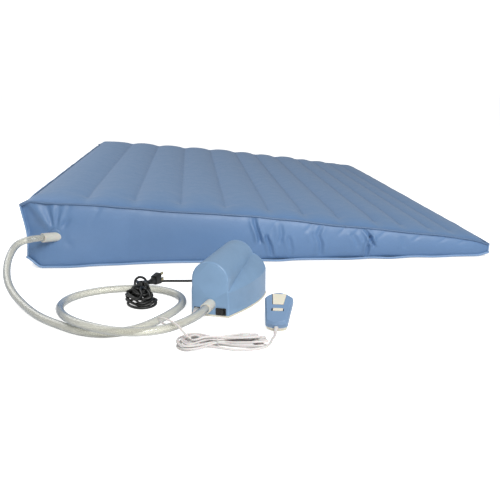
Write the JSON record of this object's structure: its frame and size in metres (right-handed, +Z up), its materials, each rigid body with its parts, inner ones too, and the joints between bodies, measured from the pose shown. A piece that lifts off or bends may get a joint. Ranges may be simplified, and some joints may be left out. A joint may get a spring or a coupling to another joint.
{
  "type": "powered inflatable bed wedge",
  "caption": "Under-mattress air wedge with quilted top, clear hose, arched mains pump and corded hand control, for raising the head end of a bed.",
  "frame": {"origin": "centre of the bladder's underside, on the floor", "axes": "+X from the thick head end to the thin foot end, +Y away from the pump side, +Z up"},
  "size_m": [1.1786, 2.0464, 0.1727],
  "materials": {
    "blue_fabric": "satin coated weave",
    "dark_welt": "satin",
    "inner_web": "matte",
    "cream_plastic": "satin",
    "blue_plastic": "fine satin",
    "clear_vinyl": "smooth, slightly cloudy",
    "clear_plastic": "smooth",
    "black_plastic": "satin",
    "black_cord": "satin",
    "white_cord": "satin",
    "grey_plastic": "matte",
    "foot_rubber": "matte",
    "steel": "brushed",
    "brass": "bright",
    "board": "satin"
  },
  "bodies": {
    "base": {"base_panel": "blue_fabric", "near_gusset": "blue_fabric", "far_gusset": "blue_fabric", "head_gusset": "blue_fabric", "foot_gusset": "blue_fabric", "baffle_webs": "inner_web", "base_welt": "dark_welt", "corner_welts": "dark_welt", "air_hose": "clear_vinyl", "pump_cover": "blue_plastic", "pump_base": "cream_plastic", "pump_feet": "foot_rubber", "case_screws": "steel", "outlet_collar": "cream_plastic", "valve_body": "grey_plastic", "valve_solenoid": "black_plastic", "outlet_duct": "grey_plastic", "blower_housing": "grey_plastic", "motor_mount": "steel", "motor_body": "steel", "circuit_board": "board", "switch_frame": "black_plastic", "jack_socket": "black_plastic", "modular_plug": "clear_plastic", "cord_strain_relief": "black_cord", "mains_cord": "black_cord", "mains_cord_bundle": "black_cord", "mains_cord_tie": "black_plastic", "plug_body": "black_plastic", "plug_blades": "brass", "handset_cord": "white_cord", "handset_cord_bundle": "white_cord", "handset_cord_tie": "white_cord", "handset_cord_tail": "white_cord"},
    "top": {"top_panel": "blue_fabric", "top_welt": "dark_welt"},
    "port": {"port_patch": "blue_fabric", "port_flange": "cream_plastic", "port_collar": "cream_plastic"},
    "plunger": {"valve_plunger": "grey_plastic"},
    "rotor": {"impeller": "grey_plastic", "motor_shaft": "steel"},
    "rocker": {"rocker": "black_plastic"},
    "handset": {"handset_top": "blue_plastic", "handset_bottom": "cream_plastic", "handset_screws": "steel", "handset_board": "board", "handset_strain_relief": "white_cord"},
    "inflate_button": {"inflate_button": "cream_plastic"},
    "deflate_button": {"deflate_button": "cream_plastic"}
  },
  "joints": [
    {"name": "lift", "type": "hinge", "parent": "base", "child": "top", "pos_m": [0.58, 0, 0.0487], "axis": [0, -1, 0], "range_deg": [0, 5.85], "deforming": ["near_gusset", "far_gusset", "head_gusset", "foot_gusset", "baffle_webs", "corner_welts"]},
    {"name": "port_drop", "type": "slide", "parent": "base", "child": "port", "axis": [0, 0, -1], "range_m": [0, 0.0539], "deforming": ["air_hose"]},
    {"name": "exhaust_valve", "type": "slide", "parent": "base", "child": "plunger", "axis": [0, 0, 1], "range_m": [0, 0.003], "stiffness_N_per_m": 60, "springref_m": -0.002},
    {"name": "blower_spin", "type": "hinge", "parent": "base", "child": "rotor", "pos_m": [-0.10798, -1.02078, 0.04], "axis": [0, 0, 1], "continuous": true},
    {"name": "power_rocker", "type": "hinge", "parent": "base", "child": "rocker", "pos_m": [-0.12735, -1.13116, 0.0126], "axis": [0, 0, 1], "range_deg": [0, 20]},
    {"name": "handset_lift", "type": "slide", "parent": "base", "child": "handset", "axis": [0, 0, 1], "range_m": [0, 0.12], "deforming": ["handset_cord_tail"]},
    {"name": "inflate_press", "type": "slide", "parent": "handset", "child": "inflate_button", "axis": [0.1, 0.4587, -0.8829], "range_m": [0, 0.0015], "stiffness_N_per_m": 400, "springref_m": -0.0005},
    {"name": "deflate_press", "type": "slide", "parent": "handset", "child": "deflate_button", "axis": [0.1, 0.4587, -0.8829], "range_m": [0, 0.0015], "stiffness_N_per_m": 400, "springref_m": -0.0005}
  ],
  "couplings": [
    {"joint": "port_drop", "follows": "lift", "m_per_rad": 0.5279}
  ]
}
